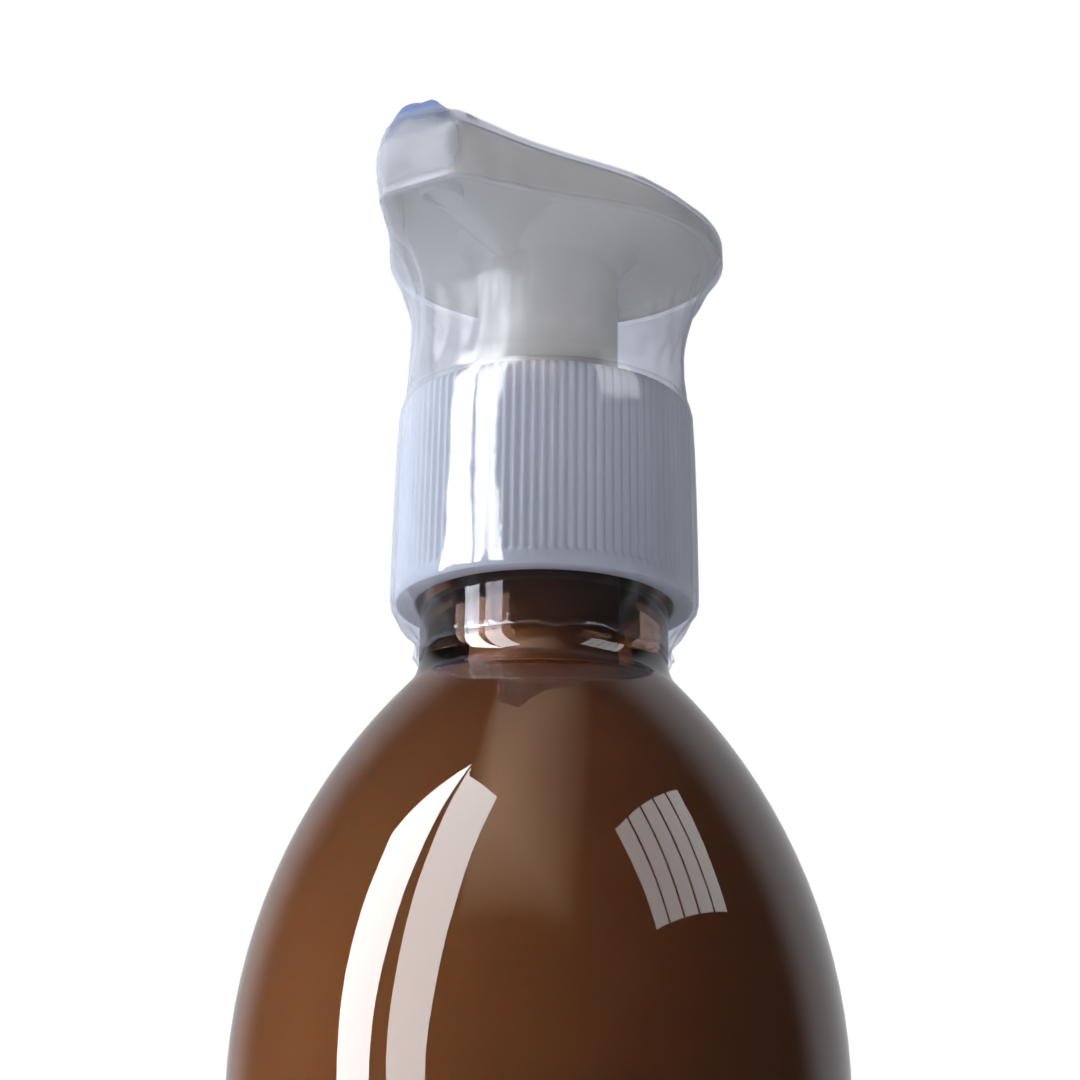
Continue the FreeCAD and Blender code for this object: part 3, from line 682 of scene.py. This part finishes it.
# The hood: it follows the head's sides and top, and its spare film is bunched on the nose.
HOOD_ROWS = 20
ROUNDING = (0.03, 0.1, 0.3)

bm = bmesh.new()
edges = leaf_loop(bm, FILM_OFF)
for v in bm.verts:
    v.co.z = HOOD_LOW * MM
round_from = SIDE_ROWS - len(ROUNDING)
for k, verts in rows_of(bm, edges, HOOD_ROWS):
    if round_from <= k < SIDE_ROWS:
        step_in(set(verts), ROUNDING[k - round_from])
    for v in verts:
        if k < SIDE_ROWS:
            side = head_top(v.co.y / MM) + FILM_OFF - HEAD_RIM
            v.co.z = (HEAD_RIM + side * (k + 1) / SIDE_ROWS) * MM
        else:
            v.co = v.co.lerp(spine_of(v), 1 / (HOOD_ROWS - k))
            v.co.z = (head_top(v.co.y / MM) + FILM_OFF) * MM
bmesh.ops.remove_doubles(bm, verts=bm.verts[:], dist=0.01 * MM)
for v in bm.verts:
    x, y, z = v.co / MM
    nose = ramp(-y, 11, 23)
    up = ramp(z, head_top(y) - 1.2, head_top(y))
    middle = math.exp(-((x + 1.5) / 5.0) ** 2)
    pillow = math.sin(math.pi * max(0, min(1, (z - HEAD_RIM) / (head_top(y) - HEAD_RIM))))
    crumple(v, Vector((3, 3, 4)), 0.12 + 0.2 * nose)
    lump = noise.noise(Vector((x / 2.4, y / 3.2, z / 3)))
    v.co.y -= ramp(-y, 20.5, 24) * pillow * MM
    v.co.z += up * nose * middle * (3.0 + 1.8 * lump) * MM
thicken(bm)
hood = make_piece("film_hood", bm, film, "head", sharp=60)
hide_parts("shrink_film")
clear_edges(hood, HOOD_LOW)

# The waist: it spans from the head's rim to the closure's top, drawn in between them.
WAIST_Z = 160.1
WAIST_R = 15.1
WAIST_ROWS = 26

bm = bmesh.new()
edges = leaf_loop(bm, FILM_OFF)
for v in bm.verts:
    v.co.z = HOOD_LOW * MM
for k, verts in rows_of(bm, edges, WAIST_ROWS):
    for v in verts:
        v.co.z -= (HOOD_LOW - WAIST_LOW) / WAIST_ROWS * MM
for v in bm.verts:
    z = v.co.z / MM
    flat = Vector((v.co.x, v.co.y)) / MM
    aim = flat.normalized()
    if z > WAIST_Z:
        share = ((z - WAIST_Z) / (HOOD_LOW - WAIST_Z)) ** (1.8 + 2.2 * max(0, -aim.y))
        spot = aim * (WAIST_R + FILM_OFF) * (1 - share) + flat * share
    else:
        share = (WAIST_Z - z) / (WAIST_Z - CAP_TOP)
        spot = aim * (WAIST_R + FILM_OFF + 0.45 * share)
    v.co.x = spot.x * MM
    v.co.y = spot.y * MM
for v in bm.verts:
    z = v.co.z / MM
    free = max(0, min(1, (HEAD_RIM - z) / 4)) * max(0, min(1, (z - CAP_TOP) / 3))
    crumple(v, Vector((2.6, 2.6, 14)), (0.5 + 0.5 * ramp(-v.co.y / MM, 12, 20)) * free)
    crumple(v, Vector((7, 7, 7)), 0.35 * free)
thicken(bm)
waist = make_piece("film_waist", bm, film, "head", sharp=60)
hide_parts("shrink_film")
clear_edges(waist, HOOD_LOW, WAIST_LOW)
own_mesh(waist)

# The skirt: it lies on the closure, is drawn in below it and ends in a curled hem on the neck.
bm = bmesh.new()
bmesh.ops.create_circle(bm, segments=256, radius=16.0 * MM,
                        matrix=Matrix.Translation((0, 0, SKIRT_TOP * MM)))
skirt = [(16.2, 153.2), (16.5, 152.0), (16.7, 148), (16.9, 142), (17.0, 136), (17.05, 132),
         (17.05, 130.5), (16.9, 129.8), (16.5, 129.2), (15.9, 128.4), (15.3, 127.5),
         (14.7, 126.7), (14.2, 126.0), (14.0, 125.4), (13.95, 124.8), (13.95, 124.3),
         (14.02, 124.14), (14.16, 124.1), (14.26, 124.2), (14.26, 124.4)]
for k, verts in rows_of(bm, bm.edges[:], len(skirt)):
    r, z = skirt[k]
    for v in verts:
        aim = Vector((v.co.x, v.co.y, 0)).normalized()
        v.co = aim * r * MM
        v.co.z = z * MM
for v in bm.verts:
    z = v.co.z / MM
    tuck = max(0, min(1, (130.5 - z) / 2)) * max(0, min(1, (z - 124.5) / 1.5))
    crumple(v, Vector((2.2, 2.2, 9)), 0.06 + 0.1 * ramp(-z, -137, -131) + 0.45 * tuck)
    crumple(v, Vector((1.3, 1.3, 6)), 0.22 * tuck * ramp(z, 126, 128))
    hem = max(0, min(1, (126.0 - z) / 1.7))
    angle = math.atan2(v.co.y, v.co.x)
    wave = noise.noise(Vector((4 * math.cos(angle), 4 * math.sin(angle), 7)))
    v.co.z += hem * 0.8 * wave * MM
thicken(bm)
skirt_film = make_piece("film_skirt", bm, film, "closure", sharp=60)
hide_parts("shrink_film")
clear_edges(skirt_film, SKIRT_TOP)


# The studio: a pale paper floor that fades to white far off, a white surround, a broad soft lamp
# on the left, and two weak ones. Cards that only glossy surfaces show stand for window panes, a
# blind and a ceiling.

FLOOR_HALF = 3.0

floor_bm = bmesh.new()
bmesh.ops.create_grid(floor_bm, x_segments=2, y_segments=2, size=FLOOR_HALF)
floor_mesh = bpy.data.meshes.new("floor")
floor_bm.to_mesh(floor_mesh)
floor_bm.free()
floor = bpy.data.objects.new("floor", floor_mesh)
bpy.context.scene.collection.objects.link(floor)

# Matt paper: pale to the eye, dim where glossy surfaces show it, and white far off, so that no
# horizon is seen.
pale, tree, shader = new_material("pale paper", {"Roughness": 0.9})
path = add_node(tree, "ShaderNodeLightPath")
sheet = add_node(tree, "ShaderNodeMix", {
    "data_type": "RGBA", 6: srgb("#F2F2F2"), 7: srgb("#4A4644")},
    {"Factor": path.outputs["Is Glossy Ray"]})
tree.links.new(sheet.outputs[2], shader.inputs["Base Color"])
place = add_node(tree, "ShaderNodeTexCoord")
away = add_node(tree, "ShaderNodeVectorMath", {"operation": "LENGTH"},
                {0: place.outputs["Object"]})
far = add_node(tree, "ShaderNodeMapRange", {
    "interpolation_type": "SMOOTHSTEP", "From Min": 0.15, "From Max": 0.9},
    {"Value": away.outputs["Value"]})
bare = add_node(tree, "ShaderNodeMath", {"operation": "MULTIPLY"},
                {0: far.outputs["Result"], 1: path.outputs["Is Camera Ray"]})
fading = add_node(tree, "ShaderNodeEmission", {"Color": srgb("#F8F8F8"), "Strength": 1.0})
surface = add_node(tree, "ShaderNodeMixShader", None, {
    "Fac": bare.outputs["Value"], 1: shader.outputs["BSDF"], 2: fading.outputs["Emission"]})
tree.links.new(surface.outputs["Shader"], tree.nodes["Material Output"].inputs["Surface"])
floor_mesh.materials.append(pale)

world = bpy.data.worlds.new("white surround")
world.use_nodes = True
bpy.context.scene.world = world
tree = world.node_tree
sky = tree.nodes["Background"]
sky.inputs["Color"].default_value = srgb("#F2F1F1")
sky.inputs["Strength"].default_value = 0.2
seen = add_node(tree, "ShaderNodeBackground", {"Color": (1, 1, 1, 1), "Strength": 1.0})
path = add_node(tree, "ShaderNodeLightPath")
heading = add_node(tree, "ShaderNodeTexCoord")
behind = add_node(tree, "ShaderNodeVectorMath", {
    "operation": "DOT_PRODUCT", 1: (-0.409, 0.866, 0.29)}, {0: heading.outputs["Generated"]})
backdrop = add_node(tree, "ShaderNodeMapRange", {
    "interpolation_type": "SMOOTHSTEP", "From Min": 0.45, "From Max": 0.75,
    "To Min": 0.06, "To Max": 0.65}, {"Value": behind.outputs["Value"]})
mirrored = add_node(tree, "ShaderNodeBackground", {"Color": srgb("#F0F1F4")},
                    {"Strength": backdrop.outputs["Result"]})
first = add_node(tree, "ShaderNodeMixShader", None, {
    "Fac": path.outputs["Is Glossy Ray"],
    1: sky.outputs["Background"], 2: mirrored.outputs["Background"]})
dusk = add_node(tree, "ShaderNodeBackground", {"Color": srgb("#F0F1F4"), "Strength": 0.03})
through = add_node(tree, "ShaderNodeMixShader", None, {
    "Fac": path.outputs["Is Transmission Ray"],
    1: first.outputs["Shader"], 2: dusk.outputs["Background"]})
second = add_node(tree, "ShaderNodeMixShader", None, {
    "Fac": path.outputs["Is Camera Ray"],
    1: through.outputs["Shader"], 2: seen.outputs["Background"]})
tree.links.new(second.outputs["Shader"], tree.nodes["World Output"].inputs["Surface"])


def aim_at(obj, target):
    """Turns a lamp or camera towards a point."""
    obj.rotation_euler = (Vector(target) - obj.location).to_track_quat("-Z", "Y").to_euler()


def add_lamp(name, spot, target, size, power, color=(0.93, 0.96, 1.0), spread=180):
    """A soft rectangular lamp that isn't seen in reflections."""
    lamp = bpy.data.lights.new(name, "AREA")
    lamp.shape = "RECTANGLE"
    lamp.size, lamp.size_y = size
    lamp.energy = power
    lamp.color = color
    lamp.spread = math.radians(spread)
    holder = bpy.data.objects.new(name, lamp)
    bpy.context.scene.collection.objects.link(holder)
    holder.location = spot
    aim_at(holder, target)
    holder.visible_glossy = False
    holder.visible_camera = False


BOTTLE_MID = (0, 0, 0.13)
add_lamp("window light", (-0.67, -0.43, 0.60), BOTTLE_MID, (0.6, 0.9), 12.0, (0.9, 0.95, 1.0))
add_lamp("floor bounce", (0.16, -0.28, 0.02), (0, 0, 0.185), (0.06, 0.06), 0.008,
         (1.0, 0.94, 0.86), spread=22)
add_lamp("back light", (0.0, 0.75, 0.7), BOTTLE_MID, (0.8, 0.8), 1.6)


def add_card(name, spot, target, size, strips, strength,
             color=(1, 1, 1, 1), soft=0.01, swing=0, slant=0, taper=1):
    """A lit card of upright strips, soft at their edges, that only shows in glossy surfaces."""
    lit = bpy.data.materials.new(name)
    lit.use_nodes = True
    tree = lit.node_tree
    tree.nodes.remove(tree.nodes["Principled BSDF"])
    path = add_node(tree, "ShaderNodeLightPath")
    across = add_node(tree, "ShaderNodeTexCoord")
    axes = add_node(tree, "ShaderNodeSeparateXYZ", None, {"Vector": across.outputs["UV"]})
    side = add_node(tree, "ShaderNodeMath", {"operation": "PINGPONG", 1: 0.5},
                    {0: axes.outputs["X"]})
    end = add_node(tree, "ShaderNodeMath", {"operation": "PINGPONG", 1: 0.5},
                   {0: axes.outputs["Y"]})
    near = add_node(tree, "ShaderNodeMath", {"operation": "MINIMUM"},
                    {0: side.outputs["Value"], 1: end.outputs["Value"]})
    fade = add_node(tree, "ShaderNodeMapRange", {"From Max": soft, "To Max": strength},
                    {"Value": near.outputs["Value"]})
    glow = add_node(tree, "ShaderNodeEmission", {"Color": color},
                    {"Strength": fade.outputs["Result"]})
    clear = add_node(tree, "ShaderNodeBsdfTransparent")
    show = add_node(tree, "ShaderNodeMixShader", None, {
        "Fac": path.outputs["Is Glossy Ray"],
        1: clear.outputs["BSDF"], 2: glow.outputs["Emission"]})
    tree.links.new(show.outputs["Shader"], tree.nodes["Material Output"].inputs["Surface"])
    bm = bmesh.new()
    bm.loops.layers.uv.new()
    pitch = size[0] / strips
    for k in range(strips):
        made = bmesh.ops.create_grid(bm, x_segments=1, y_segments=1, size=0.5, calc_uvs=True)
        bmesh.ops.scale(bm, verts=made["verts"], vec=(0.9 * pitch, size[1], 1))
        bmesh.ops.translate(bm, verts=made["verts"], vec=((k + 0.5) * pitch - size[0] / 2, 0, 0))
    for v in bm.verts:
        if v.co.y > 0:
            v.co.y -= slant * (size[0] / 2 - v.co.x)
            v.co.x *= taper
    bmesh.ops.rotate(bm, verts=bm.verts[:], cent=(0, 0, 0),
                     matrix=Matrix.Rotation(math.radians(swing), 3, "Z"))
    facing = (Vector(spot) - Vector(target)).to_track_quat("Z", "Y").to_matrix()
    bmesh.ops.rotate(bm, verts=bm.verts[:], cent=(0, 0, 0), matrix=facing)
    bmesh.ops.translate(bm, verts=bm.verts[:], vec=spot)
    mesh = bpy.data.meshes.new(name)
    bm.to_mesh(mesh)
    bm.free()
    mesh.materials.append(lit)
    card = bpy.data.objects.new(name, mesh)
    bpy.context.scene.collection.objects.link(card)


add_card("left_pane", (-0.46, -0.65, 0.66), (-0.04, 0.03, 0.17), (0.29, 1.15), 1, 20.0,
         slant=1.5)
add_card("right_pane", (-0.16, -0.81, 0.64), (0.11, -0.02, 0.15), (0.31, 1.15), 1, 12.0)
add_card("ceiling_card", (0.262, -0.562, 1.1), (0.262, -0.5621, 0.1), (1.5, 1.9), 1, 2.6,
         color=(1.0, 0.77, 0.55, 1), soft=0.42, swing=205, taper=0.3)
add_card("blind_card", (0.698, 0.116, 0.747), BOTTLE_MID, (0.55, 0.38), 5, 4.0)

camera = bpy.data.cameras.new("camera")
camera.lens = 99.6
camera.sensor_width = 36
eye = bpy.data.objects.new("camera", camera)
bpy.context.scene.collection.objects.link(eye)
eye.location = (0.1793, -0.2599, 0.0342)
aim_at(eye, (-0.00046, -0.00032, 0.138))
tilt = Matrix.Rotation(math.radians(0.7), 3, "Z")
eye.rotation_euler = (eye.rotation_euler.to_matrix() @ tilt).to_euler()
bpy.context.scene.camera = eye
bpy.context.scene.view_settings.view_transform = "Standard"
